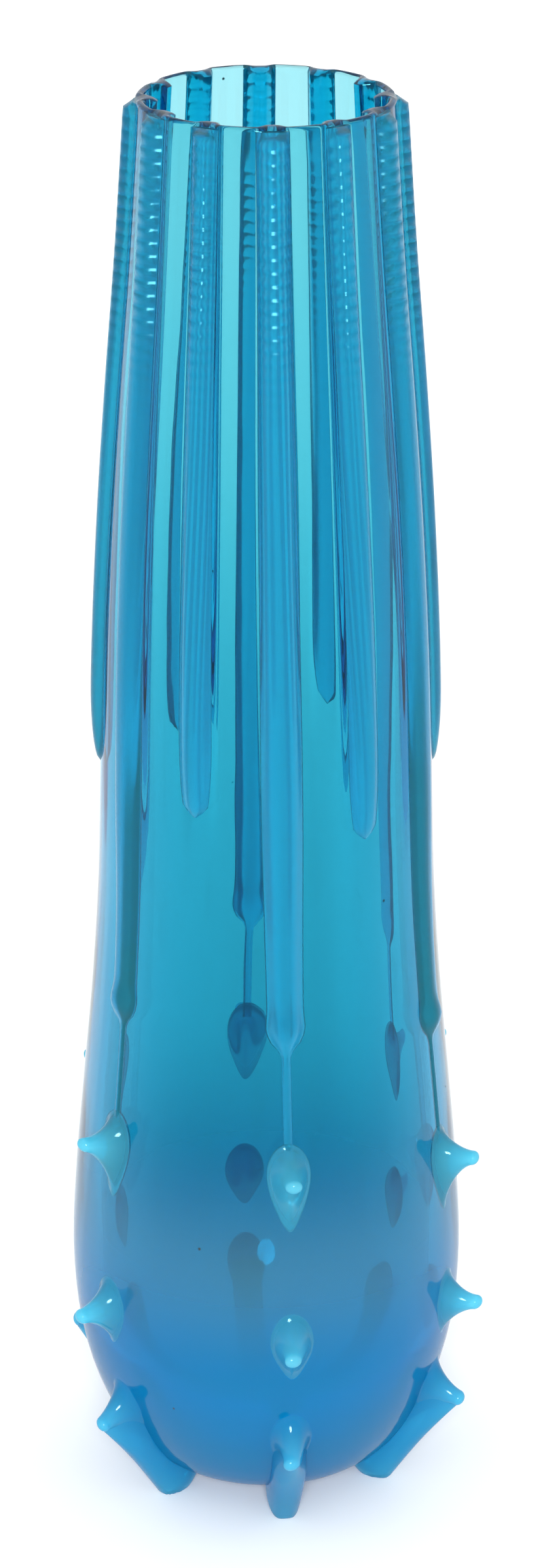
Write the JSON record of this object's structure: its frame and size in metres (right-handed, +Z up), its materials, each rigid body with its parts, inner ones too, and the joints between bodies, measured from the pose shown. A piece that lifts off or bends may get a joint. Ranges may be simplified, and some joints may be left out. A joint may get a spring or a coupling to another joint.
{
  "type": "swung glass vase",
  "caption": "Tall swung vase of azure blue glass with stretched ribs running down from the rim and rows of thorns that end in pointed feet.",
  "frame": {"origin": "on the vessel's vertical axis, at the level of the surface its feet stand on. The middle of the box is 1.46 mm from it towards +X", "axes": "+Z up from the feet to the rim; -Y is the front, where one spine of thorns faces slightly to +X"},
  "size_m": [0.0895, 0.1008, 0.305],
  "materials": {
    "vessel_glass": "fire-polished transparent azure glass, pale where thin at the rim and deep blue in the base",
    "rib_glass": "fire-polished transparent azure glass, saturated where it is thick",
    "thorn_glass": "fire-polished azure glass with slightly milky tips",
    "foot_glass": "fire-polished azure glass, slightly milky, with small flat tips"
  },
  "bodies": {
    "root": {"vessel": "vessel_glass", "long_rib_1": "rib_glass", "short_rib_1": "rib_glass", "upper_thorn_1": "thorn_glass", "middle_thorn_1": "thorn_glass", "lower_thorn_1": "thorn_glass", "foot_1": "foot_glass", "long_rib_2": "rib_glass", "short_rib_2": "rib_glass", "upper_thorn_2": "thorn_glass", "middle_thorn_2": "thorn_glass", "lower_thorn_2": "thorn_glass", "foot_2": "foot_glass", "long_rib_3": "rib_glass", "short_rib_3": "rib_glass", "upper_thorn_3": "thorn_glass", "middle_thorn_3": "thorn_glass", "lower_thorn_3": "thorn_glass", "foot_3": "foot_glass", "long_rib_4": "rib_glass", "short_rib_4": "rib_glass", "upper_thorn_4": "thorn_glass", "middle_thorn_4": "thorn_glass", "lower_thorn_4": "thorn_glass", "foot_4": "foot_glass", "long_rib_5": "rib_glass", "short_rib_5": "rib_glass", "upper_thorn_5": "thorn_glass", "middle_thorn_5": "thorn_glass", "lower_thorn_5": "thorn_glass", "foot_5": "foot_glass", "long_rib_6": "rib_glass", "short_rib_6": "rib_glass", "upper_thorn_6": "thorn_glass", "middle_thorn_6": "thorn_glass", "lower_thorn_6": "thorn_glass", "foot_6": "foot_glass"}
  },
  "joints": []
}
